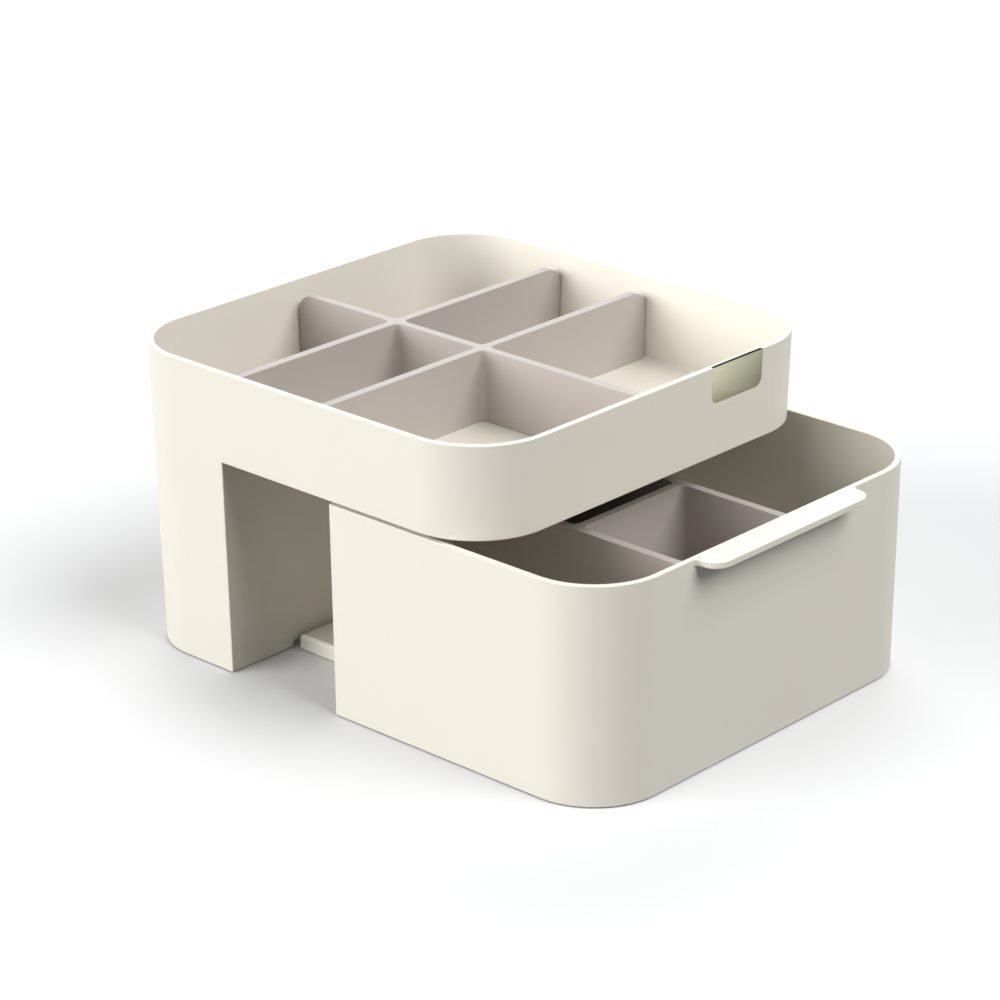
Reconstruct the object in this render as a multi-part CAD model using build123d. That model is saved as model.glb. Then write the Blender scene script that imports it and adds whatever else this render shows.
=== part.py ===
from build123d import *
from math import radians, tan
import os

# Cosmetics organizer: an open tray carried by a hollow rear column, with a drawer below the tray.
# Millimetres. X is the width, the drawer opens towards -Y, Z is up from the table.
# The drawer is drawn part open. Pieces are drawn about the middle of the housing,
# and moved at the end so that the origin is on the table under the middle of the whole object.

# Housing, one moulding: the tray, the column and the deep well inside the column
housing_width = 200.0
housing_depth = 195.2
housing_height = 126.7
housing_draft = 1.53
corner_radius = 32.8
wall = 2.55
ground_gap = 0.4
tray_band = 37.3
tray_floor = 2.0
column_depth = 59.1
well_floor = 2.0
well_floor_underside = 11.0
rim_bevel = 0.3
tray_floor_bevel = 1.5
well_floor_bevel = 2.5
well_corner_round = 3.0

# Base, one moulding: a plate that closes the column and a runner for the drawer
base_sheet = 2.2
base_gap = 0.25
runner_width = 125.2
runner_top = 6.6
runner_standoff = 3.3
runner_nose_gap = 3.0
runner_edge_round = 1.6
runner_corner = 6.0
runner_skin = 2.0
web_inset = 6.0
rib_sheet = 1.6
rib_bays_long = 5
rib_bays_wide = 4
rib_root = 1.0

# Feet and their seats
foot_diameter = 12.0
foot_thickness = 1.8
foot_seat_gap = 0.15
foot_block = 16.0
front_foot_inset = 11.0
rear_foot_side_inset = 28.0
rear_foot_rear_inset = 21.6

# Screws that hold the base to the housing
screw_diameter = 3.0
screw_length = 8.0
screw_head_diameter = 5.6
screw_head_height = 1.9
screw_drive = 2.6
screw_drive_depth = 1.1
screw_hole_gap = 0.1
screw_head_gap = 0.3
screw_side_inset = 44.0
screw_front_inset = 8.5
screw_rear_inset = 14.6
boss_diameter = 8.0
screw_pad = 10.0
screw_web = 2.2
screw_head_sink = 0.5

# Drawer with its handle, one moulding
drawer_length = 134.45
drawer_seam = 1.5
drawer_step = 0.67
drawer_side_draft = 1.1
drawer_front_draft = 0.25
drawer_spare = 4.0
drawer_corner = 31.3
drawer_wall = 2.5
drawer_floor = 2.0
drawer_floor_bevel = 1.2
drawer_rim_bevel = 0.3
drawer_rear_round = 1.5
drawer_open = 56.6
closing_gap = 0.3
runner_gap = 0.4
guide_rib = 2.0
guide_rib_lift = 0.4
handle_width = 92.5
handle_reach = 10.05
handle_thickness = 2.6
handle_corner = 7.0
handle_root = 2.5
handle_bevel = 0.3

# Glides under the drawer
glide_width = 8.0
glide_length = 22.0
glide_thickness = 2.0
glide_seat_gap = 0.15
glide_seat_depth = 1.4
glide_seat_rim = 1.5
glide_side_inset = 18.3
glide_front_inset = 28.0
glide_rear_inset = 16.0

# Lift-out divider of the tray: one plate front to back, crossed by two
divider_sheet = 3.8
divider_drop = 5.6
divider_row = 46.5
divider_end_round = 8.0
divider_root = 2.5
insert_gap = 0.3
seat_gap = 0.1

# Lift-out divider of the drawer: two plates front to back, joined by a bridge
lane_width = 62.1
lane_drop = 12.2
bridge_setback = 70.65

# Badge folded over the front rim
badge_width = 30.2
badge_height = 15.0
badge_centre = 44.9
badge_sheet = 0.5
badge_corner = 3.5
badge_lip = 4.0
badge_fold_round = 0.8
badge_seat_gap = 0.1

# Levels and faces that several pieces share
housing_front = -housing_depth / 2
housing_rear = housing_depth / 2
column_front = housing_rear - column_depth
band_bottom = housing_height - tray_band
tray_floor_top = band_bottom + tray_floor
well_floor_top = well_floor_underside + well_floor
base_top = ground_gap + base_sheet
housing_lean = tan(radians(housing_draft))
drawer_side_lean = tan(radians(drawer_side_draft))
drawer_front_lean = tan(radians(drawer_front_draft))
drawer_top = band_bottom - drawer_seam
drawer_half = housing_width / 2 - tray_band * housing_lean - drawer_step
drawer_rear = column_front - closing_gap - drawer_open
drawer_front = drawer_rear - drawer_length
drawer_floor_underside = runner_top + runner_gap
drawer_floor_top = drawer_floor_underside + drawer_floor
far = 2 * max(housing_width, housing_depth, drawer_length)


def tapered_block(front, rear, half_width, radius, top, bottom, draft):
    """A block with rounded corners whose sides lean in as they go down."""
    outline = RectangleRounded(2 * half_width, rear - front, radius)
    placed = Pos(0, (front + rear) / 2, top) * outline
    return extrude(placed, amount=top - bottom, dir=(0, 0, -1), taper=draft)


def slab(x0, x1, y0, y1, z0, z1):
    """A plain block between two corners."""
    return Pos((x0 + x1) / 2, (y0 + y1) / 2, (z0 + z1) / 2) * Box(x1 - x0, y1 - y0, z1 - z0)


def pad_block(x, y, width, length, z0, z1):
    """A plain block around a place."""
    return slab(x - width / 2, x + width / 2, y - length / 2, y + length / 2, z0, z1)


def post(x, y, radius, z0, z1):
    """An upright cylinder."""
    return Pos(x, y, (z0 + z1) / 2) * Cylinder(radius, z1 - z0)


def housing_block(inset, bottom):
    """The housing's outer form down to a level, drawn in by an inset on every side."""
    return tapered_block(housing_front + inset, housing_rear - inset, housing_width / 2 - inset,
                         corner_radius - inset, housing_height, bottom, housing_draft)


def tray_room(inset):
    """The tray's inside, down to its floor with a bevelled foot."""
    return bevelled_at(housing_block(inset, tray_floor_top), tray_floor_top, tray_floor_bevel)


def rear_part(shape, start):
    """What a shape has behind a plane."""
    return shape & slab(-far, far, start, far, -far, far)


def at_level(edges, level):
    """The edges that lie flat at one height."""
    return edges.filter_by(lambda e: abs(e.bounding_box().min.Z - level) < 1e-3
                           and abs(e.bounding_box().max.Z - level) < 1e-3)


def upright(edges):
    """The edges that run mostly up and down."""
    return edges.filter_by(lambda e: e.bounding_box().size.Z > 0.9 * e.length)


def bevelled_at(shape, level, size):
    """Bevels every flat-lying edge at one height."""
    return chamfer(at_level(shape.edges(), level), size)


def four_places(front_x, front_y, rear_x, rear_y):
    """A pair of places at the front and a pair at the rear, alike on both sides."""
    return {"front_left": (-front_x, front_y), "front_right": (front_x, front_y),
            "rear_left": (-rear_x, rear_y), "rear_right": (rear_x, rear_y)}


def screw_points():
    """Places of the screws under the column."""
    x = housing_width / 2 - screw_side_inset
    front_y = column_front + wall + screw_front_inset
    return four_places(x, front_y, x, housing_rear - screw_rear_inset)


def foot_points():
    """Places of the feet: two under the column and two under the runner's nose."""
    front_x = runner_width / 2 - front_foot_inset
    front_y = runner_front() + front_foot_inset
    rear_x = housing_width / 2 - rear_foot_side_inset
    return four_places(front_x, front_y, rear_x, housing_rear - rear_foot_rear_inset)


def glide_points():
    """Places of the glides under the drawer's corners."""
    x = drawer_half - glide_side_inset
    return four_places(x, drawer_front + glide_front_inset, x, drawer_rear - glide_rear_inset)


def runner_front():
    """The runner's nose, just inside the drawer's front wall when the drawer is shut."""
    shut_front = column_front - closing_gap - drawer_length
    front_inside = shut_front + (drawer_top - runner_top) * drawer_front_lean + drawer_wall
    return front_inside + runner_nose_gap


def rim_section(shrink, depth):
    """Section through the front wall's top, drawn in on its two faces and its top."""
    top = housing_height - shrink
    bottom = housing_height - depth

    def outside(z):
        return housing_front + (housing_height - z) * housing_lean + shrink

    def inside(z):
        return housing_front + wall + (housing_height - z) * housing_lean - shrink

    corners = [(outside(bottom), bottom), (outside(top), top), (inside(top), top), (inside(bottom), bottom)]
    return Plane.YZ * Polygon(*corners, align=None)


def badge_blank(margin):
    """The badge's folded sheet, wider and deeper by a margin."""
    width = badge_width + 2 * margin
    height = badge_height + margin
    fold = rim_section(0, height) - rim_section(badge_sheet, height + wall)
    sheet = extrude(fold, amount=width / 2, both=True)
    behind = housing_front + wall / 2 + badge_height * housing_lean
    sheet -= slab(-width, width, behind, far, 0, housing_height - badge_lip - margin)
    corners = sheet.edges().filter_by(lambda e: e.center().Z < housing_height - height + badge_sheet
                                      and abs(abs(e.center().X) - width / 2) < 1e-3)
    sheet = fillet(corners, badge_corner + margin)
    return Pos(badge_centre, 0, 0) * sheet


def make_housing():
    body = housing_block(0, ground_gap)
    body -= slab(-far, far, -far, column_front, -far, band_bottom)
    well = rear_part(housing_block(wall, well_floor_top), column_front + wall)
    well = fillet(upright(well.edges()).group_by(Axis.Y)[0], well_corner_round)
    well = bevelled_at(well, well_floor_top, well_floor_bevel)
    under = rear_part(housing_block(wall, 0), column_front + wall)
    under &= slab(-far, far, -far, far, 0, well_floor_underside)
    body = bevelled_at(body - tray_room(wall) - well - under, housing_height, rim_bevel)
    hole_radius = screw_diameter / 2 + screw_hole_gap
    for x, y in screw_points().values():
        boss = post(x, y, boss_diameter / 2, screw_seat_top(), well_floor_underside)
        hole = post(x, y, hole_radius, screw_seat_top(), screw_tip() + screw_hole_gap)
        body = body + boss - hole
    passage = runner_width / 2 + base_gap
    body -= slab(-passage, passage, column_front - wall, column_front + 2 * wall, 0, base_top + base_gap)
    return body - badge_blank(badge_seat_gap)


def screw_seat():
    """Underside of the web that a screw head pulls against."""
    return ground_gap + screw_head_sink + screw_head_height


def screw_seat_top():
    """Where the base meets the housing's screw bosses."""
    return screw_seat() + screw_web


def screw_tip():
    """Height that the screws' points reach."""
    return screw_seat() + screw_length


def make_screw(x, y):
    seat = screw_seat()
    head = post(x, y, screw_head_diameter / 2, seat - screw_head_height, seat)
    shank = post(x, y, screw_diameter / 2, seat, screw_tip())
    drive = Pos(x, y, seat - screw_head_height) * RegularPolygon(screw_drive / 2, 6)
    return head + shank - extrude(drive, amount=screw_drive_depth)


def make_base():
    plate = rear_part(housing_block(wall + base_gap, ground_gap), column_front + wall + base_gap)
    plate &= slab(-far, far, -far, far, ground_gap, base_top)
    half = runner_width / 2
    runner_rear = column_front - runner_standoff
    web_rear = column_front + wall + base_gap + rib_root
    web = slab(web_inset - half, half - web_inset, runner_rear - runner_skin, web_rear, ground_gap, base_top)
    runner = slab(-half, half, runner_front(), runner_rear, ground_gap, runner_top)
    runner = fillet(upright(runner.edges()).group_by(Axis.Y)[0], runner_corner)
    runner = fillet(at_level(runner.edges(), runner_top), runner_edge_round)
    core = slab(-half + runner_skin, half - runner_skin, runner_front() + runner_skin,
                runner_rear - runner_skin, ground_gap, runner_top - runner_skin)
    core = fillet(upright(core.edges()).group_by(Axis.Y)[0], runner_corner - runner_skin)
    base = plate + web + (runner - core)
    length = runner_rear - runner_front()
    rib_top = runner_top - rib_root
    for i in range(1, rib_bays_long):
        y = runner_front() + length * i / rib_bays_long
        base += slab(-half + rib_root, half - rib_root, y - rib_sheet / 2, y + rib_sheet / 2,
                     ground_gap, rib_top)
    for i in range(1, rib_bays_wide):
        x = -half + runner_width * i / rib_bays_wide
        base += slab(x - rib_sheet / 2, x + rib_sheet / 2, runner_front() + rib_root, runner_rear - rib_root,
                     ground_gap, rib_top)
    for corner, (x, y) in foot_points().items():
        if corner.startswith("front"):
            base += pad_block(x, y, foot_block, foot_block, ground_gap, rib_top)
    for x, y in foot_points().values():
        base -= post(x, y, foot_diameter / 2 + foot_seat_gap, 0, foot_thickness)
    for x, y in screw_points().values():
        base += pad_block(x, y, screw_pad, screw_pad, ground_gap, screw_seat_top())
    for x, y in screw_points().values():
        base -= post(x, y, screw_head_diameter / 2 + screw_head_gap, 0, screw_seat())
        base -= post(x, y, screw_diameter / 2 + screw_hole_gap, 0, screw_seat_top())
    return base


def make_foot(x, y):
    return post(x, y, foot_diameter / 2, 0, foot_thickness)


def drawer_block(inset, top, bottom, rear_inset):
    """The drawer's outer form between two levels, drawn in by an inset, with a flat upright rear.

    It is drawn too tall and tilted about the front of its rim, so that its front leans less than its sides.
    """
    grow = drawer_spare * drawer_side_lean - inset
    tall = tapered_block(drawer_front - grow, drawer_rear + 2 * drawer_corner, drawer_half + grow,
                         drawer_corner + grow, drawer_top + drawer_spare, -drawer_spare, drawer_side_draft)
    hinge = Pos(0, drawer_front + inset, drawer_top)
    tilted = hinge * Rot(X=drawer_front_draft - drawer_side_draft) * hinge.inverse() * tall
    return tilted & slab(-far, far, -far, drawer_rear - rear_inset, bottom, top)


def drawer_room(inset):
    """The drawer's inside, down to its floor, with rounded rear corners and a bevelled foot."""
    room = drawer_block(inset, drawer_top, drawer_floor_top, inset)
    room = fillet(upright(room.edges()).group_by(Axis.Y)[-1], drawer_rear_round)
    return bevelled_at(room, drawer_floor_top, drawer_floor_bevel)


def handle_tab():
    """The flat finger tab, level with the drawer's rim, with hollow corners where it leaves the wall."""
    root = drawer_front + drawer_wall / 2
    tip = drawer_front - handle_reach
    tab = Rectangle(handle_width, root - tip)
    tab = fillet(tab.vertices().group_by(Axis.Y)[0], handle_corner)
    plan = Pos(0, (root + tip) / 2) * tab
    wings_width = handle_width + 2 * handle_root + handle_bevel
    wings = Pos(0, (drawer_front + root) / 2) * Rectangle(wings_width, root - drawer_front)
    plan = plan + wings
    inner = plan.vertices().filter_by(lambda v: abs(v.Y - drawer_front) < 1e-3
                                      and abs(abs(v.X) - handle_width / 2) < 1e-3)
    plan = fillet(inner, handle_root)
    tab = extrude(Pos(0, 0, drawer_top - handle_thickness) * plan, amount=handle_thickness)
    outer = tab.edges().filter_by(lambda e: e.bounding_box().max.Y < drawer_front + 1e-3
                                  and e.bounding_box().size.Z < 1e-3)
    return chamfer(outer, handle_bevel)


def make_drawer():
    body = drawer_block(0, drawer_top, ground_gap, 0)
    under = drawer_block(drawer_wall, drawer_floor_underside, 0, drawer_wall)
    body = bevelled_at(body - drawer_room(drawer_wall) - under, drawer_top, drawer_rim_bevel)
    body += handle_tab()
    half = runner_width / 2 + runner_gap
    root = drawer_wall / 2
    level = drawer_floor_underside + drawer_floor / 2
    ribs = slab(-half - guide_rib, half + guide_rib, -far, far, ground_gap + guide_rib_lift, level)
    ribs -= slab(-half, half, -far, far, 0, level)
    body += ribs & drawer_block(root, level, 0, root)
    body -= slab(-half, half, drawer_rear - 2 * drawer_wall, far, 0, drawer_floor_underside)
    for x, y in glide_points().values():
        body += glide_block(x, y, glide_seat_gap + glide_seat_rim, glide_seat(), drawer_floor_underside)
    for x, y in glide_points().values():
        body -= glide_block(x, y, glide_seat_gap, 0, glide_thickness)
    return body


def glide_seat():
    """Lower edge of the frames that hold the glides."""
    return glide_thickness - glide_seat_depth


def glide_block(x, y, margin, z0, z1):
    """A block as large as a glide and a margin all round."""
    return pad_block(x, y, glide_width + 2 * margin, glide_length + 2 * margin, z0, z1)


def make_glide(x, y):
    return glide_block(x, y, 0, 0, glide_thickness)


def plate_ends(plates, level):
    """The short edges at one height where plates end at a wall."""
    return at_level(plates.edges(), level).filter_by(lambda e: abs(e.length - divider_sheet) < 0.1)


def stand_plates(plan, bottom, top, room, foot_bevel):
    """Stands a plan of crossed plates up, trims it to the room it stands in and shapes its end corners."""
    plates = extrude(Pos(0, 0, bottom) * plan, amount=top - bottom) & room
    plates = fillet(plate_ends(plates, top), divider_end_round)
    return chamfer(plate_ends(plates, bottom), foot_bevel)


def round_roots(plan, points):
    """Rounds the inner corners of a plan near the places where its plates cross."""
    def near(v):
        return any(abs(v.X - x) < divider_sheet and abs(v.Y - y) < divider_sheet for x, y in points)
    return fillet(plan.vertices().filter_by(near), divider_root)


def make_tray_divider():
    rear_row = column_front + divider_sheet / 2
    front_row = rear_row - divider_row
    plan = Rectangle(divider_sheet, far)
    for y in (rear_row, front_row):
        plan += Pos(0, y) * Rectangle(far, divider_sheet)
    plan = round_roots(plan, [(0, rear_row), (0, front_row)])
    room = housing_block(wall + insert_gap, tray_floor_top)
    top = housing_height - divider_drop
    return stand_plates(plan, tray_floor_top + seat_gap, top, room, tray_floor_bevel)


def make_drawer_divider():
    bridge = drawer_front + bridge_setback
    plan = Pos(0, bridge) * Rectangle(lane_width, divider_sheet)
    for side in (-1, 1):
        plan += Pos(side * lane_width / 2, 0) * Rectangle(divider_sheet, far)
    plan = round_roots(plan, [(-lane_width / 2, bridge), (lane_width / 2, bridge)])
    inset = drawer_wall + insert_gap
    room = drawer_block(inset, drawer_top, drawer_floor_top, inset)
    top = drawer_top - lane_drop
    return stand_plates(plan, drawer_floor_top + seat_gap, top, room, drawer_floor_bevel)


def make_badge():
    badge = badge_blank(0)
    folds = at_level(badge.edges(), housing_height).filter_by(lambda e: e.length > badge_width / 2)
    return fillet(folds, badge_fold_round)


pieces = {
    "housing": make_housing(),
    "base_runner": make_base(),
    "tray_divider": make_tray_divider(),
    "drawer": make_drawer(),
    "drawer_divider": make_drawer_divider(),
    "badge": make_badge(),
}
for corner, (x, y) in foot_points().items():
    pieces["foot_" + corner] = make_foot(x, y)
for corner, (x, y) in glide_points().items():
    pieces["glide_" + corner] = make_glide(x, y)
for corner, (x, y) in screw_points().items():
    pieces["screw_" + corner] = make_screw(x, y)

middle = (drawer_front - handle_reach + housing_rear) / 2
os.makedirs("parts", exist_ok=True)
for name, shape in pieces.items():
    export_step(Pos(0, -middle, 0) * shape, "parts/" + name + ".step")
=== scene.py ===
from math import cos, pi, radians, sin, tan

import bmesh
import bpy
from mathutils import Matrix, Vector


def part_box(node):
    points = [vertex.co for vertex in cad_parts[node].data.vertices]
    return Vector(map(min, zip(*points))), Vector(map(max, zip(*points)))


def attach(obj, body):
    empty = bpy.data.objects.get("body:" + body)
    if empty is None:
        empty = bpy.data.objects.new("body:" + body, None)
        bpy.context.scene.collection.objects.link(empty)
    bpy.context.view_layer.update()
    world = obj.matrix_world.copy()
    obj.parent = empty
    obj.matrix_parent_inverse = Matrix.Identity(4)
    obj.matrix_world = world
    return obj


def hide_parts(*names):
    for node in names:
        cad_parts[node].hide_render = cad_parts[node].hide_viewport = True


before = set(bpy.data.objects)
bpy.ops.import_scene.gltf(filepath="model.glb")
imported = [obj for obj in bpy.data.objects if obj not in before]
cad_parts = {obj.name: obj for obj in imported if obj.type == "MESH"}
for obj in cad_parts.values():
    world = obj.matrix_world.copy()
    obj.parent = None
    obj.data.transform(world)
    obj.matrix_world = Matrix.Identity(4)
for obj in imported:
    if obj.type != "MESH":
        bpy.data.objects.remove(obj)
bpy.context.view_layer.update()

# Sizes are in millimetres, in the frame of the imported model, and meshes are written in metres
MM = 0.001


def frame_box(node):
    """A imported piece's lowest and highest corner in millimetres."""
    low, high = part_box(node)
    return low / MM, high / MM


housing_low, housing_high = frame_box("housing")
drawer_low, drawer_high = frame_box("drawer")
tray_low, tray_high = frame_box("tray_divider")
lane_low, lane_high = frame_box("drawer_divider")
foot_low, foot_high = frame_box("foot_rear_left")
glide_low, glide_high = frame_box("glide_rear_left")
screw_low, screw_high = frame_box("screw_rear_left")
corners = ("front_left", "front_right", "rear_left", "rear_right")
foot_nodes = ["foot_" + corner for corner in corners]
glide_nodes = ["glide_" + corner for corner in corners]
screw_nodes = ["screw_" + corner for corner in corners]

# Housing
housing_half = 100.0
housing_front = housing_low.y
housing_rear = housing_high.y
housing_top = housing_high.z
ground_gap = housing_low.z
housing_lean = tan(radians(1.53))
housing_corner = 32.8
housing_wall = 2.55
band_bottom = 89.4
tray_floor = 91.4
well_floor = 13.0
well_underside = 11.0
column_depth = 59.1
column_front = housing_rear - column_depth
well_front = column_front + housing_wall
passage_half = 62.85
passage_top = 2.85
rim_round = 0.3
cut_edge_round = 0.45
floor_round = 2.0

# Drawer
drawer_half = 98.33
drawer_top = drawer_high.z
drawer_rear = drawer_high.y
drawer_length = 134.45
drawer_front = drawer_rear - drawer_length
drawer_side_lean = tan(radians(1.1))
drawer_front_lean = tan(radians(0.25))
drawer_corner = 31.3
drawer_wall = 2.5
drawer_floor = 9.0
drawer_underside = 7.0
runner_notch_half = 63.0
guide_rib = 2.0
guide_rib_bottom = 0.9
handle_width = 92.5
handle_tip = drawer_low.y
handle_thickness = 2.6
handle_corner = 7.0
handle_root = 2.5
handle_sink = 0.02

# Dividers
plate = 3.8
plate_root = 2.5
plate_end_round = 8.0
plate_foot_bevel = 1.5
plate_edge_round = 0.3
plate_gap = 0.3
tray_row_spacing = 46.5
tray_row_rear = column_front + plate / 2
tray_row_front = tray_row_rear - tray_row_spacing
lane_half = 31.05
bridge_depth = 70.65
bridge_y = drawer_front + bridge_depth

# Badge
badge_left = frame_box("badge")[0].x
badge_right = frame_box("badge")[1].x
badge_height = 15.0
badge_thickness = 1.3
badge_corner = 3.5
badge_gap = 0.1
badge_edge_round = 0.12

# Feet, glides and screws, and what holds them
foot_edge_round = 0.35
foot_dish_radius = 3.6
foot_dish_depth = 0.4
glide_corner = 1.2
glide_edge_round = 0.3
glide_seat_gap = 0.15
glide_seat_rim = 1.5
glide_seat_bottom = 0.6
screw_head_height = 1.9
screw_shank_radius = 1.5
screw_shank_sink = 0.6
screw_root_ratio = 0.76
screw_half_pitch = 0.6
screw_drive_radius = 1.3
screw_drive_depth = 1.1
screw_edge_round = 0.15
screw_hole_radius = 1.6
screw_hole_gap = 0.16
screw_boss_radius = 4.0
screw_boss_bottom = 5.0

# Fineness of the meshes: steps in a quarter turn of each kind of round, and sides of the round bars
corner_steps = 24
tab_steps = 12
plate_end_steps = 10
post_steps = 8
root_steps = 6
edge_steps = 4
small_edge_steps = 3
fine_edge_steps = 2
glide_corner_steps = 5
screw_head_sides = 40
screw_shank_sides = 24
screw_drive_sides = 6
foot_sides = 48
floor_sides = 64
sharp_angle = radians(28)

# How pieces are cut and joined: a length past the whole object, how far a cutter passes the face that it
# opens, how deep joined forms overlap, how near a level an edge counts as on it, and what welds into one
far = 400.0
reach = 1.0
overlap = 0.5
near = 0.01
weld = 0.0001


# Mesh tools
def linear(hex_colour):
    """A colour written as sRGB hex, as the linear values that shaders use."""
    values = [int(hex_colour[i:i + 2], 16) / 255 for i in (1, 3, 5)]
    return [v / 12.92 if v <= 0.04045 else ((v + 0.055) / 1.055) ** 2.4 for v in values] + [1.0]


def mesh_object(name, bm):
    """An object at the origin that holds the mesh, given in millimetres."""
    bmesh.ops.remove_doubles(bm, verts=bm.verts, dist=weld)
    bmesh.ops.recalc_face_normals(bm, faces=bm.faces)
    bmesh.ops.scale(bm, verts=bm.verts, vec=(MM, MM, MM))
    mesh = bpy.data.meshes.new(name)
    bm.to_mesh(mesh)
    bm.free()
    obj = bpy.data.objects.new(name, mesh)
    bpy.context.scene.collection.objects.link(obj)
    return obj


def arc(cx, cy, radius, start, steps=corner_steps):
    """Points of a quarter turn counterclockwise from a start angle in degrees."""
    turns = [radians(start + 90 * i / steps) for i in range(steps + 1)]
    return [(cx + radius * cos(t), cy + radius * sin(t)) for t in turns]


def housing_ring(inset, z):
    """The housing's rounded outline at one height, drawn in by an inset."""
    inset += (housing_top - z) * housing_lean
    radius = housing_corner - inset
    x = housing_half - housing_corner
    y0, y1 = housing_front + housing_corner, housing_rear - housing_corner
    points = arc(x, y0, radius, -90) + arc(x, y1, radius, 0)
    points += arc(-x, y1, radius, 90) + arc(-x, y0, radius, 180)
    return [(px, py, z) for px, py in points]


def drawer_ring(inset, z, rear_inset=0.0):
    """The drawer's outline at one height, with rounded front corners and an upright square rear."""
    drop = drawer_top - z
    front = drawer_front + drop * drawer_front_lean + inset
    half = drawer_half - drop * drawer_side_lean - inset
    radius = drawer_corner - drop * drawer_side_lean - inset
    x, y = half - radius, front + radius
    rear = drawer_rear - rear_inset
    points = [(-half, rear)] + arc(-x, y, radius, 180) + arc(x, y, radius, -90) + [(half, rear)]
    return [(px, py, z) for px, py in points]


def loft(name, rings):
    """A closed solid through rings of points, one above the other."""
    bm = bmesh.new()
    rows = [[bm.verts.new(p) for p in ring] for ring in rings]
    for low, high in zip(rows, rows[1:]):
        for i in range(len(low)):
            j = (i + 1) % len(low)
            bm.faces.new((low[i], low[j], high[j], high[i]))
    bm.faces.new(rows[0][::-1])
    bm.faces.new(rows[-1])
    return mesh_object(name, bm)


def block(x0, x1, y0, y1, z0, z1):
    """A plain cutter between two corners."""
    return loft("block", [[(x0, y0, z), (x1, y0, z), (x1, y1, z), (x0, y1, z)] for z in (z0, z1)])


def middle(node):
    """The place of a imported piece's middle, seen from above."""
    low, high = frame_box(node)
    return (low.x + high.x) / 2, (low.y + high.y) / 2


def surround(node, margin, z0, z1):
    """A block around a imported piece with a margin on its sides."""
    low, high = frame_box(node)
    return block(low.x - margin, high.x + margin, low.y - margin, high.y + margin, z0, z1)


def post(x, y, radius, z0, z1):
    """An upright round cutter or boss."""
    ring = []
    for start in (0, 90, 180, 270):
        ring += arc(x, y, radius, start, post_steps)[:-1]
    return loft("post", [[(px, py, z) for px, py in ring] for z in (z0, z1)])


def settle(obj):
    """Turns the result of an object's modifiers into its plain mesh."""
    mesh = bpy.data.meshes.new_from_object(obj.evaluated_get(bpy.context.evaluated_depsgraph_get()))
    obj.modifiers.clear()
    obj.data = mesh
    return obj


def combine(obj, operation, *tools):
    """Cuts, joins or trims a solid with others, which are used up."""
    for tool in tools:
        modifier = obj.modifiers.new("combine", "BOOLEAN")
        modifier.operation = operation
        modifier.solver = "EXACT"
        modifier.object = tool
        settle(obj)
        bpy.data.objects.remove(tool)
    return obj


def round_edges(obj, radius, chosen, steps=edge_steps):
    """Rounds the sharp edges for which chosen(edge, middle in millimetres) holds."""
    bm = bmesh.new()
    bm.from_mesh(obj.data)
    bmesh.ops.remove_doubles(bm, verts=bm.verts, dist=weld * MM)
    edges = [e for e in bm.edges
             if len(e.link_faces) == 2 and e.calc_face_angle() > sharp_angle
             and chosen(e, (e.verts[0].co + e.verts[1].co) / 2 / MM)]
    bmesh.ops.bevel(bm, geom=edges, offset=radius * MM, offset_type="OFFSET", segments=steps,
                    profile=0.5, affect="EDGES", clamp_overlap=False)
    bm.to_mesh(obj.data)
    bm.free()
    return obj


def finish_piece(obj, name, body, slot, material, *nodes):
    """Smooth shading with crisp flats, a finish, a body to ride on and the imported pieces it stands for."""
    obj.name = obj.data.name = name
    bm = bmesh.new()
    bm.from_mesh(obj.data)
    for face in bm.faces:
        face.smooth = True
    for edge in bm.edges:
        edge.smooth = len(edge.link_faces) != 2 or edge.calc_face_angle() < sharp_angle
    bm.to_mesh(obj.data)
    bm.free()
    weighted = obj.modifiers.new("even shading", "WEIGHTED_NORMAL")
    weighted.keep_sharp = True
    settle(obj)
    obj.data.materials.clear()
    obj.data.materials.append(material)
    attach(obj, body)
    if nodes:
        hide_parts(*nodes)
    return obj


# Materials: the size of each pattern on a surface, and how deep it is
melt_flow = 60.0
mould_grain = 0.6
mould_relief = 0.05
brush_scratch = 0.3
brush_relief = 0.02
rubber_dust = 0.5
glide_mark = 0.4
zinc_cloud = 1.0


def new_material(name):
    """An empty material and its tree of nodes."""
    material = bpy.data.materials.new(name)
    material.use_nodes = True
    material.node_tree.nodes.clear()
    return material, material.node_tree


def add(tree, kind, inputs=None, **settings):
    """Adds a node with its settings, and sets or links its inputs, which go by name or number."""
    node = tree.nodes.new(kind)
    for key, value in settings.items():
        setattr(node, key, value)
    for key, value in (inputs or {}).items():
        if isinstance(value, bpy.types.NodeSocket):
            tree.links.new(value, node.inputs[key])
        else:
            node.inputs[key].default_value = value
    return node


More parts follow.
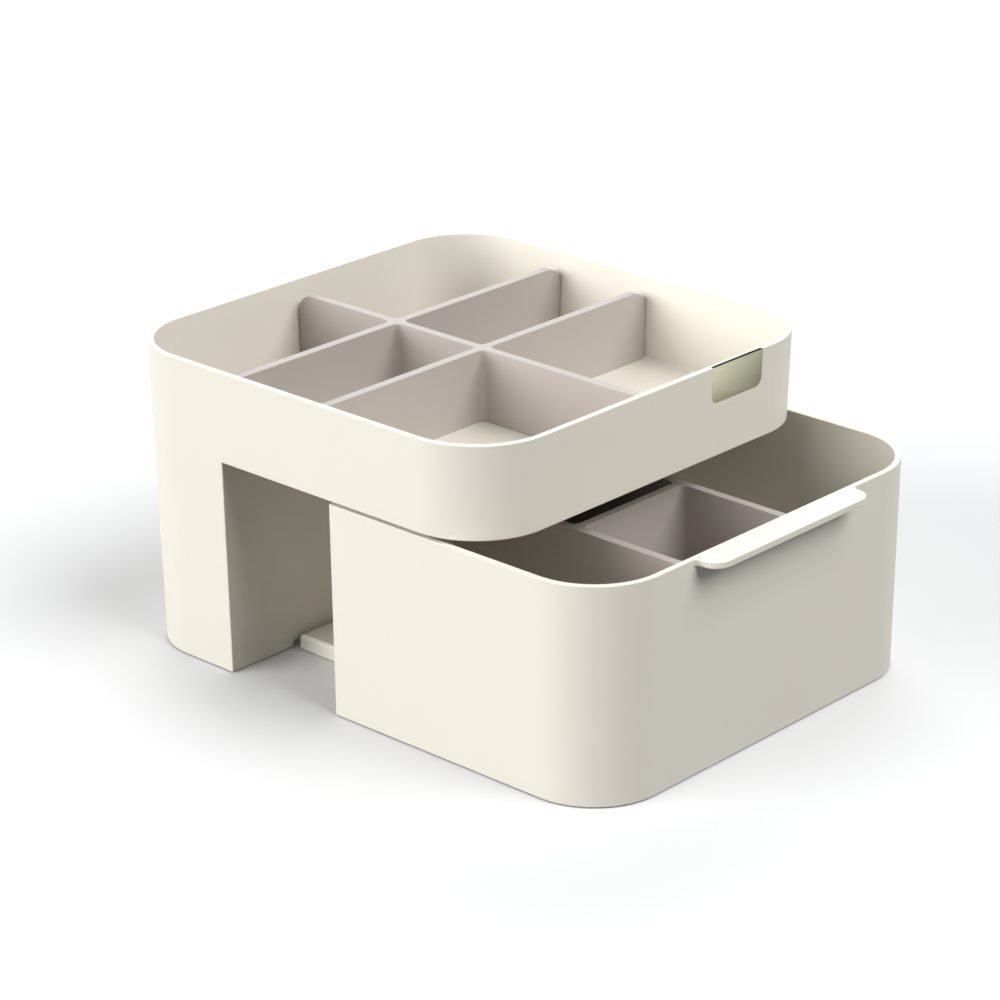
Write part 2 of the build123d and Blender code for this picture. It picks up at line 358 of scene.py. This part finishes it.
def moulded_plastic(name, light, dark, roughness):
    """Injection-moulded polypropylene from a fine spark-eroded mould: a soft even sheen that hardly
    varies, with a faint drift of tone where the melt flowed. The mould's grain is about a tenth of a
    millimetre and too fine to show, so it is drawn coarser."""
    material, tree = new_material(name)
    place = add(tree, "ShaderNodeTexCoord").outputs["Object"]
    flow = add(tree, "ShaderNodeTexNoise", {"Vector": place, "Scale": 1 / (melt_flow * MM), "Detail": 2.0})
    tone = add(tree, "ShaderNodeMix", {"Factor": flow.outputs["Fac"], 6: linear(light), 7: linear(dark)},
               data_type="RGBA")
    grain = add(tree, "ShaderNodeTexNoise",
                {"Vector": place, "Scale": 1 / (mould_grain * MM), "Detail": 3.0, "Roughness": 0.6})
    gloss = add(tree, "ShaderNodeMapRange",
                {"Value": grain.outputs["Fac"], "To Min": roughness - 0.05, "To Max": roughness + 0.05})
    bump = add(tree, "ShaderNodeBump",
               {"Height": grain.outputs["Fac"], "Strength": 0.12, "Distance": mould_relief * MM})
    shader = add(tree, "ShaderNodeBsdfPrincipled",
                 {"Base Color": tone.outputs[2], "Roughness": gloss.outputs["Result"], "IOR": 1.49,
                  "Normal": bump.outputs["Normal"]})
    add(tree, "ShaderNodeOutputMaterial", {"Surface": shader.outputs["BSDF"]})
    return material


def brushed_badge_metal():
    """Stainless steel plate, finely brushed along its length and tinted champagne: soft scratches drawn 0.3
    mm apart, a painted reflection that runs from light at the upper left to dark at the lower right, and a
    painted dark reflection along the upper edge, which is also made dull."""
    material, tree = new_material("brushed_champagne_steel")
    place = add(tree, "ShaderNodeTexCoord").outputs["Object"]
    stretch = add(tree, "ShaderNodeMapping", {"Vector": place, "Scale": (0.02, 1.0, 1.0)})
    lines = add(tree, "ShaderNodeTexNoise",
                {"Vector": stretch.outputs["Vector"], "Scale": 1 / (brush_scratch * MM), "Detail": 2.0})
    # Painted reflection: the face's colour runs from light at the upper left to dark at the lower right,
    # standing in for the studio's reflection on brushed metal
    slant = add(tree, "ShaderNodeVectorMath", {0: place, 1: (1.0, 0.0, -1.0)}, operation="DOT_PRODUCT")
    painted_sheen_falloff = add(tree, "ShaderNodeMapRange",
                {"Value": slant.outputs["Value"], "From Min": (badge_left - housing_top) * MM,
                 "From Max": (badge_right - housing_top + badge_height) * MM, "To Min": -0.1, "To Max": 0.9})
    scratches_and_painted_sheen = add(tree, "ShaderNodeMath", {0: lines.outputs["Fac"], 1: 0.2, 2: painted_sheen_falloff.outputs["Result"]},
               operation="MULTIPLY_ADD")
    # The darker colour is the shaded end of the painted reflection
    face = add(tree, "ShaderNodeMix",
               {"Factor": scratches_and_painted_sheen.outputs["Value"], 6: linear("#d6d4b8"), 7: linear("#7a7864")},
               data_type="RGBA")
    # Painted dark reflection: a dark, dull strip along the top edge stands in for the dark room that the top
    # would reflect
    height = add(tree, "ShaderNodeSeparateXYZ", {"Vector": place}).outputs["Z"]
    painted_dark_edge_mask = add(tree, "ShaderNodeMapRange",
                  {"Value": height, "From Min": (housing_top - 1.5 * badge_edge_round) * MM,
                   "From Max": (housing_top - 0.8 * badge_edge_round) * MM})
    # Mixes in the colour of the painted dark reflection along the top edge
    tone = add(tree, "ShaderNodeMix",
               {"Factor": painted_dark_edge_mask.outputs["Result"], 6: face.outputs[2], 7: linear("#34322a")},
               data_type="RGBA")
    brushed = add(tree, "ShaderNodeMapRange", {"Value": lines.outputs["Fac"], "To Min": 0.28, "To Max": 0.4})
    gloss = add(tree, "ShaderNodeMix",
                {"Factor": painted_dark_edge_mask.outputs["Result"], "A": brushed.outputs["Result"], "B": 0.85})
    bump = add(tree, "ShaderNodeBump",
               {"Height": lines.outputs["Fac"], "Strength": 0.1, "Distance": brush_relief * MM})
    shader = add(tree, "ShaderNodeBsdfPrincipled",
                 {"Base Color": tone.outputs[2], "Metallic": 1.0, "Roughness": gloss.outputs["Result"],
                  "Anisotropic": 0.5, "Normal": bump.outputs["Normal"]})
    add(tree, "ShaderNodeOutputMaterial", {"Surface": shader.outputs["BSDF"]})
    return material


def foot_rubber_black():
    """Moulded nitrile rubber: a dull near-black that scatters light evenly, with a fine dusty mottle."""
    material, tree = new_material("moulded_nitrile_rubber_black")
    place = add(tree, "ShaderNodeTexCoord").outputs["Object"]
    dust = add(tree, "ShaderNodeTexNoise", {"Vector": place, "Scale": 1 / (rubber_dust * MM), "Detail": 3.0})
    tone = add(tree, "ShaderNodeMix",
               {"Factor": dust.outputs["Fac"], 6: linear("#232324"), 7: linear("#38383a")},
               data_type="RGBA")
    bump = add(tree, "ShaderNodeBump",
               {"Height": dust.outputs["Fac"], "Strength": 0.3, "Distance": mould_relief * MM})
    shader = add(tree, "ShaderNodeBsdfPrincipled",
                 {"Base Color": tone.outputs[2], "Roughness": 0.78, "IOR": 1.52,
                  "Normal": bump.outputs["Normal"]})
    add(tree, "ShaderNodeOutputMaterial", {"Surface": shader.outputs["BSDF"]})
    return material


def glide_acetal_white():
    """Acetal strip, skived and slick: milky white with a soft waxy gloss and fine drag marks along its
    length, drawn 0.4 mm apart."""
    material, tree = new_material("skived_acetal_white")
    place = add(tree, "ShaderNodeTexCoord").outputs["Object"]
    along = add(tree, "ShaderNodeMapping", {"Vector": place, "Scale": (1.0, 0.05, 1.0)})
    marks = add(tree, "ShaderNodeTexNoise",
                {"Vector": along.outputs["Vector"], "Scale": 1 / (glide_mark * MM), "Detail": 2.0})
    tone = add(tree, "ShaderNodeMix",
               {"Factor": marks.outputs["Fac"], 6: linear("#e8e6df"), 7: linear("#dcdad2")},
               data_type="RGBA")
    gloss = add(tree, "ShaderNodeMapRange", {"Value": marks.outputs["Fac"], "To Min": 0.28, "To Max": 0.42})
    shader = add(tree, "ShaderNodeBsdfPrincipled",
                 {"Base Color": tone.outputs[2], "Roughness": gloss.outputs["Result"], "IOR": 1.48})
    add(tree, "ShaderNodeOutputMaterial", {"Surface": shader.outputs["BSDF"]})
    return material


def screw_zinc():
    """Zinc-plated steel wire screw: a cool bright grey whose plating clouds over in millimetre patches."""
    material, tree = new_material("zinc_plated_steel")
    place = add(tree, "ShaderNodeTexCoord").outputs["Object"]
    clouds = add(tree, "ShaderNodeTexNoise",
                 {"Vector": place, "Scale": 1 / (zinc_cloud * MM), "Detail": 4.0})
    tone = add(tree, "ShaderNodeMix",
               {"Factor": clouds.outputs["Fac"], 6: linear("#c3c6c9"), 7: linear("#a9adb3")},
               data_type="RGBA")
    gloss = add(tree, "ShaderNodeMapRange", {"Value": clouds.outputs["Fac"], "To Min": 0.22, "To Max": 0.42})
    shader = add(tree, "ShaderNodeBsdfPrincipled",
                 {"Base Color": tone.outputs[2], "Metallic": 1.0, "Roughness": gloss.outputs["Result"]})
    add(tree, "ShaderNodeOutputMaterial", {"Surface": shader.outputs["BSDF"]})
    return material


# Pieces
def make_housing():
    """The tray and its band in one with the hollow rear column, its deep wells and its screw bosses."""
    outer = loft("housing", [housing_ring(0, ground_gap), housing_ring(0, housing_top)])
    room = loft("room", [housing_ring(housing_wall, z) for z in (well_floor, housing_top + reach)])
    combine(room, "DIFFERENCE", block(-far, far, -far, well_front, -far, tray_floor))
    under = loft("under", [housing_ring(housing_wall, z) for z in (-reach, well_underside)])
    combine(under, "DIFFERENCE", block(-far, far, -far, well_front, -far, far))
    open_front = block(-far, far, -far, column_front, -far, band_bottom)
    passage = block(-passage_half, passage_half, column_front - reach, well_front + reach,
                    -reach, passage_top)
    combine(outer, "DIFFERENCE", room, open_front, under, passage)
    round_edges(outer, floor_round, lambda e, p: not e.is_convex and p.z > well_underside + near
                and abs(p.z - band_bottom) > near)
    round_edges(outer, rim_round, lambda e, p: abs(p.z - housing_top) < near)
    round_edges(outer, cut_edge_round, lambda e, p: p.z < band_bottom + near and e.is_convex)
    for node in screw_nodes:
        x, y = middle(node)
        combine(outer, "UNION", post(x, y, screw_boss_radius, screw_boss_bottom, well_underside + overlap))
        hole = post(x, y, screw_hole_radius, screw_boss_bottom - overlap, screw_high.z + screw_hole_gap)
        combine(outer, "DIFFERENCE", hole)
    return outer


def handle_plan():
    """Outline of the finger tab from above, with rounded tips and hollow roots at the drawer's front."""
    half = handle_width / 2
    inside = drawer_front + drawer_wall
    root_y = drawer_front + handle_sink - handle_root
    points = [(half + handle_root, inside), (-half - handle_root, inside)]
    points += arc(-half - handle_root, root_y, handle_root, 0, post_steps)[::-1]
    points += arc(-half + handle_corner, handle_tip + handle_corner, handle_corner, 180, tab_steps)
    points += arc(half - handle_corner, handle_tip + handle_corner, handle_corner, 270, tab_steps)
    return points + arc(half + handle_root, root_y, handle_root, 90, post_steps)[::-1]


def make_drawer():
    """The drawer with its finger tab, the notch and ribs that straddle the runner, and the glides' seats."""
    outer = loft("drawer", [drawer_ring(0, z) for z in (ground_gap, drawer_top + reach)])
    tab_bottom = drawer_top - handle_thickness
    tab = loft("tab", [[(x, y, z) for x, y in handle_plan()] for z in (tab_bottom, drawer_top + reach)])
    round_edges(tab, rim_round, lambda e, p: abs(p.z - tab_bottom) < near
                and p.y < drawer_front + drawer_wall / 2)
    room = loft("room", [drawer_ring(drawer_wall, z, drawer_wall)
                         for z in (drawer_floor, drawer_top + reach)])
    under = loft("under", [drawer_ring(drawer_wall, z, drawer_wall)
                           for z in (-reach, drawer_underside)])
    combine(outer, "UNION", tab)
    combine(outer, "DIFFERENCE", block(-far, far, -far, far, drawer_top, far), room, under)
    for side in (-1, 1):
        edges = sorted((side * runner_notch_half, side * (runner_notch_half + guide_rib)))
        rib = block(*edges, drawer_front + drawer_wall, drawer_rear - drawer_wall / 2,
                    guide_rib_bottom, drawer_underside + overlap)
        combine(outer, "UNION", rib)
    notch = block(-runner_notch_half, runner_notch_half, drawer_rear - 2 * drawer_wall, far,
                  -reach, drawer_underside)
    combine(outer, "DIFFERENCE", notch)
    round_edges(outer, floor_round, lambda e, p: not e.is_convex
                and drawer_floor - near < p.z < tab_bottom - near)
    round_edges(outer, rim_round, lambda e, p: abs(p.z - drawer_top) < near)
    round_edges(outer, cut_edge_round, lambda e, p: e.is_convex and p.z < tab_bottom - near
                and abs(p.z - guide_rib_bottom) > near)
    for node in glide_nodes:
        frame_margin = glide_seat_gap + glide_seat_rim
        combine(outer, "UNION", surround(node, frame_margin, glide_seat_bottom, drawer_underside + overlap))
        combine(outer, "DIFFERENCE", surround(node, glide_seat_gap, -overlap, glide_high.z))
    return outer


def plate_room(ring, bottom, top, inset):
    """The room that a divider's plates stand in, whose sides give the plates their end shape."""
    rows = [(plate_foot_bevel, bottom), (0.0, bottom + plate_foot_bevel)]
    for i in range(plate_end_steps + 1):
        turn = pi / 2 * i / plate_end_steps
        rows.append((plate_end_round * (1 - cos(turn)), top - plate_end_round + plate_end_round * sin(turn)))
    return loft("room", [ring(inset + extra, z) for extra, z in rows])


def stand_plates(name, boxes, room, bottom, top):
    """Crossed plates joined with hollow roots, trimmed to their room, with softened upper edges."""
    first, *others = [block(*b, bottom - reach, top + reach) for b in boxes]
    combine(first, "UNION", *others)
    round_edges(first, plate_root, lambda e, p: not e.is_convex, root_steps)
    combine(first, "INTERSECT", room)
    return round_edges(first, plate_edge_round, lambda e, p: e.is_convex and p.z > bottom + overlap,
                       small_edge_steps)


def make_tray_divider():
    """The lift-out insert that parts the tray into six cells."""
    bottom, top = tray_low.z, tray_high.z
    half = plate / 2
    boxes = [(-half, half, -far, far)]
    boxes += [(-far, far, y - half, y + half) for y in (tray_row_front, tray_row_rear)]
    room = plate_room(housing_ring, bottom, top, housing_wall + plate_gap)
    return stand_plates("tray_divider", boxes, room, bottom, top)


def make_drawer_divider():
    """The lift-out insert of two lengthwise plates and a bridge between them."""
    bottom, top = lane_low.z, lane_high.z
    half = plate / 2
    boxes = [(x - half, x + half, -far, far) for x in (-lane_half, lane_half)]
    boxes += [(-lane_half, lane_half, bridge_y - half, bridge_y + half)]
    inset = drawer_wall + plate_gap
    room = plate_room(lambda extra, z: drawer_ring(extra, z, extra), bottom, top, inset)
    return stand_plates("drawer_divider", boxes, room, bottom, top)


def badge_plate(name, grow, out):
    """The badge's plate, sunk in the front wall, with rounded lower corners. To cut its seat it is grown by
    a gap and reaches out of the wall and above the rim."""
    bottom, top = housing_top - badge_height - grow, housing_top + out
    rings = []
    for z in (bottom, top):
        face = housing_front + (housing_top - z) * housing_lean
        front, back = face - out, face + badge_thickness + grow
        left, right = badge_left - grow, badge_right + grow
        rings.append([(left, front, z), (right, front, z), (right, back, z), (left, back, z)])
    return round_edges(loft(name, rings), badge_corner + grow, lambda e, p: p.z < bottom + near
                       and abs(e.verts[0].co.x - e.verts[1].co.x) < weld * MM, post_steps)


def make_badge():
    """The bare plate, with its cut edges eased."""
    return round_edges(badge_plate("badge", 0, 0), badge_edge_round, lambda e, p: True, fine_edge_steps)


def repeat_tree(name, shape, sizes):
    """A tree that stands a shape at each point that it is given. The sizes, in metres, are its inputs."""
    tree = bpy.data.node_groups.new(name, "GeometryNodeTree")
    tree.interface.new_socket("Places", in_out="INPUT", socket_type="NodeSocketGeometry")
    for label in sizes:
        tree.interface.new_socket(label, in_out="INPUT", socket_type="NodeSocketFloat")
    tree.interface.new_socket("Material", in_out="INPUT", socket_type="NodeSocketMaterial")
    tree.interface.new_socket("Pieces", in_out="OUTPUT", socket_type="NodeSocketGeometry")
    inputs = add(tree, "NodeGroupInput").outputs
    stood = add(tree, "GeometryNodeInstanceOnPoints",
                {"Points": inputs["Places"], "Instance": shape(tree, inputs)})
    real = add(tree, "GeometryNodeRealizeInstances", {"Geometry": stood.outputs["Instances"]})
    dressed = add(tree, "GeometryNodeSetMaterial",
                  {"Geometry": real.outputs["Geometry"], "Material": inputs["Material"]})
    add(tree, "NodeGroupOutput", {"Pieces": dressed.outputs["Geometry"]})
    return tree


def set_out(name, shape, sizes, material, nodes):
    """The plain mesh of a shape that repeats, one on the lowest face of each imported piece."""
    tree = repeat_tree(name, shape, sizes)
    bm = bmesh.new()
    for node in nodes:
        bm.verts.new((*middle(node), frame_box(node)[0].z))
    obj = mesh_object(name, bm)
    modifier = obj.modifiers.new("set out", "NODES")
    modifier.node_group = tree
    sockets = {item.name: item.identifier for item in tree.interface.items_tree if item.in_out == "INPUT"}
    for label, size in sizes.items():
        modifier[sockets[label]] = size * MM
    modifier[sockets["Material"]] = material
    return settle(obj)


def drawn_up(tree, outline, bottom, height, **ridges):
    """An outline drawn straight up from a level to a height, as a closed solid. Ridges narrow every other
    ring of the way: a step between rings and the narrow rings' size against the wide ones."""
    end = add(tree, "ShaderNodeCombineXYZ", {"Z": height})
    path = add(tree, "GeometryNodeCurvePrimitiveLine",
               {"Start": (0, 0, bottom * MM), "End": end.outputs["Vector"]})
    inputs = {"Curve": path.outputs["Curve"], "Profile Curve": outline, "Fill Caps": True}
    if ridges:
        rings = add(tree, "GeometryNodeResampleCurve",
                    {"Curve": path.outputs["Curve"], "Length": ridges["step"]}, mode="LENGTH")
        number = add(tree, "GeometryNodeInputIndex").outputs["Index"]
        every_other = add(tree, "ShaderNodeMath", {0: number, 1: 2.0}, operation="MODULO")
        size = add(tree, "ShaderNodeMapRange", {"Value": every_other.outputs["Value"], "To Min": 1.0,
                                                "To Max": ridges["narrow"]})
        inputs.update({"Curve": rings.outputs["Curve"], "Scale": size.outputs["Result"]})
    return add(tree, "GeometryNodeCurveToMesh", inputs).outputs["Mesh"]


def round_bar(tree, radius, sides, bottom, height, **ridges):
    """An upright bar, round or with a few flat sides."""
    outline = add(tree, "GeometryNodeCurvePrimitiveCircle", {"Radius": radius, "Resolution": sides})
    return drawn_up(tree, outline.outputs["Curve"], bottom, height, **ridges)


def screw_shape(tree, size):
    """A forming screw that stands on its head, with a hexagon socket and a ridged shank."""
    head = round_bar(tree, size["Head Radius"], screw_head_sides, 0, size["Head Height"])
    shank = round_bar(tree, size["Shank Radius"], screw_shank_sides, screw_head_height - screw_shank_sink,
                      size["Length"], step=size["Half Pitch"], narrow=screw_root_ratio)
    whole = add(tree, "GeometryNodeMeshBoolean", {"Mesh 2": head}, operation="UNION", solver="EXACT")
    tree.links.new(shank, whole.inputs["Mesh 2"])
    drive = round_bar(tree, size["Drive Radius"], screw_drive_sides, -reach, size["Drive Depth"])
    return add(tree, "GeometryNodeMeshBoolean", {"Mesh 1": whole.outputs["Mesh"], "Mesh 2": drive},
               operation="DIFFERENCE", solver="EXACT").outputs["Mesh"]


def foot_shape(tree, size):
    """A round foot with a shallow dish in its underside."""
    disc = round_bar(tree, size["Radius"], foot_sides, 0, size["Thickness"])
    dish = round_bar(tree, size["Dish Radius"], foot_sides, -reach, size["Dish Depth"])
    return add(tree, "GeometryNodeMeshBoolean", {"Mesh 1": disc, "Mesh 2": dish},
               operation="DIFFERENCE", solver="EXACT").outputs["Mesh"]


def glide_shape(tree, size):
    """A strip with rounded corners."""
    plan = add(tree, "GeometryNodeCurvePrimitiveQuadrilateral",
               {"Width": size["Width"], "Height": size["Length"]})
    rounded = add(tree, "GeometryNodeFilletCurve",
                  {"Curve": plan.outputs["Curve"], "Count": glide_corner_steps, "Radius": size["Corner"]},
                  mode="POLY")
    return drawn_up(tree, rounded.outputs["Curve"], 0, size["Thickness"])


def make_screws(material):
    sizes = {"Head Radius": (screw_high.x - screw_low.x) / 2, "Head Height": screw_head_height,
             "Shank Radius": screw_shank_radius, "Length": screw_high.z - screw_low.z,
             "Half Pitch": screw_half_pitch, "Drive Radius": screw_drive_radius,
             "Drive Depth": screw_drive_depth}
    screws = set_out("screws", screw_shape, sizes, material, screw_nodes)
    return round_edges(screws, screw_edge_round, lambda e, p: e.is_convex and p.z < screw_low.z + near,
                       fine_edge_steps)


def make_feet(material):
    sizes = {"Radius": (foot_high.x - foot_low.x) / 2, "Thickness": foot_high.z - foot_low.z,
             "Dish Radius": foot_dish_radius, "Dish Depth": foot_dish_depth}
    feet = set_out("feet", foot_shape, sizes, material, foot_nodes)
    return round_edges(feet, foot_edge_round, lambda e, p: e.is_convex, small_edge_steps)


def make_glides(material):
    sizes = {"Width": glide_high.x - glide_low.x, "Length": glide_high.y - glide_low.y,
             "Thickness": glide_high.z - glide_low.z, "Corner": glide_corner}
    glides = set_out("glides", glide_shape, sizes, material, glide_nodes)
    return round_edges(glides, glide_edge_round, lambda e, p: e.is_convex, small_edge_steps)


shell_plastic = moulded_plastic("moulded_polypropylene_cream", "#e5e1d6", "#e2ddd1", 0.46)
divider_plastic = moulded_plastic("moulded_polypropylene_mauve", "#b4aca7", "#afa7a2", 0.5)
badge_metal = brushed_badge_metal()
foot_rubber = foot_rubber_black()
glide_plastic = glide_acetal_white()
screw_steel = screw_zinc()

housing = make_housing()
combine(housing, "DIFFERENCE", badge_plate("badge_seat", badge_gap, overlap))
finish_piece(housing, "organizer_housing", "stand", "shell_plastic", shell_plastic, "housing")
finish_piece(make_drawer(), "organizer_drawer", "drawer_unit", "shell_plastic", shell_plastic, "drawer")
finish_piece(make_tray_divider(), "tray_insert", "tray_insert", "divider_plastic", divider_plastic,
             "tray_divider")
finish_piece(make_drawer_divider(), "drawer_insert", "drawer_unit", "divider_plastic", divider_plastic,
             "drawer_divider")
finish_piece(make_badge(), "rim_badge", "stand", "badge_metal", badge_metal, "badge")
finish_piece(make_feet(foot_rubber), "base_feet", "stand", "foot_rubber", foot_rubber, *foot_nodes)
finish_piece(make_screws(screw_steel), "base_screws", "stand", "screw_steel", screw_steel, *screw_nodes)
finish_piece(make_glides(glide_plastic), "drawer_glides", "drawer_unit", "glide_plastic", glide_plastic,
             *glide_nodes)


def dress_node(name, material):
    """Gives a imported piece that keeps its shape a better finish."""
    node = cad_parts[name]
    node.data.materials.clear()
    node.data.materials.append(material)


dress_node("base_runner", shell_plastic)


# Stage
floor_radius = 14000.0


def make_floor():
    """A round sheet of white paper, too wide for its edge to show."""
    bm = bmesh.new()
    bmesh.ops.create_circle(bm, cap_ends=True, segments=floor_sides, radius=floor_radius)
    floor = mesh_object("floor", bm)
    material, tree = new_material("white_paper_sweep")
    shader = add(tree, "ShaderNodeBsdfPrincipled", {"Base Color": linear("#e2e3e4"), "Roughness": 0.9})
    add(tree, "ShaderNodeOutputMaterial", {"Surface": shader.outputs["BSDF"]})
    floor.data.materials.append(material)
    floor.visible_diffuse = False


def make_sun(name, azimuth, elevation, spread, strength):
    """A distant softbox. Azimuth 0 shines along +Y and 90 along -X, spread is its apparent width in
    degrees and strength is the brightness of a white card that faces it."""
    light = bpy.data.lights.new(name, "SUN")
    light.angle = radians(spread)
    light.energy = pi * strength
    turn, lift = radians(azimuth), radians(elevation)
    towards = Vector((sin(turn) * cos(lift), -cos(turn) * cos(lift), sin(lift)))
    obj = bpy.data.objects.new(name, light)
    obj.rotation_euler = towards.to_track_quat("Z", "Y").to_euler()
    bpy.context.scene.collection.objects.link(obj)


def make_world(above, below, blur=0.15):
    """An even dome, bright above and dimmer below the horizon, which is blurred by a share of its height."""
    world = bpy.data.worlds.new("studio")
    world.use_nodes = True
    tree = world.node_tree
    tree.nodes.clear()
    place = add(tree, "ShaderNodeTexCoord").outputs["Generated"]
    height = add(tree, "ShaderNodeSeparateXYZ", {"Vector": place}).outputs["Z"]
    level = add(tree, "ShaderNodeMapRange", {"Value": height, "From Min": -blur, "From Max": blur,
                                             "To Min": below, "To Max": above})
    light = add(tree, "ShaderNodeBackground",
                {"Color": linear("#ffffff"), "Strength": level.outputs["Result"]})
    add(tree, "ShaderNodeOutputWorld", {"Surface": light.outputs["Background"]})
    bpy.context.scene.world = world


camera_azimuth = radians(-47.69)
camera_elevation = radians(22.05)
camera_distance = 1390.12
camera_target = Vector((9.25, 25.80, 54.10)) * MM
camera_lens = 125.28


def make_camera():
    """The photograph's camera, as fitted to its straight edges and rounded corners."""
    camera = bpy.data.cameras.new("camera")
    camera.lens = camera_lens
    camera.sensor_width = 36.0
    camera.clip_end = 50.0
    back = Vector((sin(camera_azimuth) * cos(camera_elevation), -cos(camera_azimuth) * cos(camera_elevation),
                   sin(camera_elevation)))
    obj = bpy.data.objects.new("camera", camera)
    obj.location = camera_target + back * camera_distance * MM
    obj.rotation_euler = (-back).to_track_quat("-Z", "Y").to_euler()
    bpy.context.scene.collection.objects.link(obj)
    bpy.context.scene.camera = obj


make_floor()
make_world(above=0.22, below=0.05)
make_sun("side_softbox", azimuth=-113, elevation=10, spread=55, strength=1.51)
make_sun("front_softbox", azimuth=15, elevation=50, spread=45, strength=0.88)
make_sun("rear_softbox", azimuth=132, elevation=30, spread=50, strength=0.42)
make_camera()
bpy.context.scene.view_settings.view_transform = "Standard"
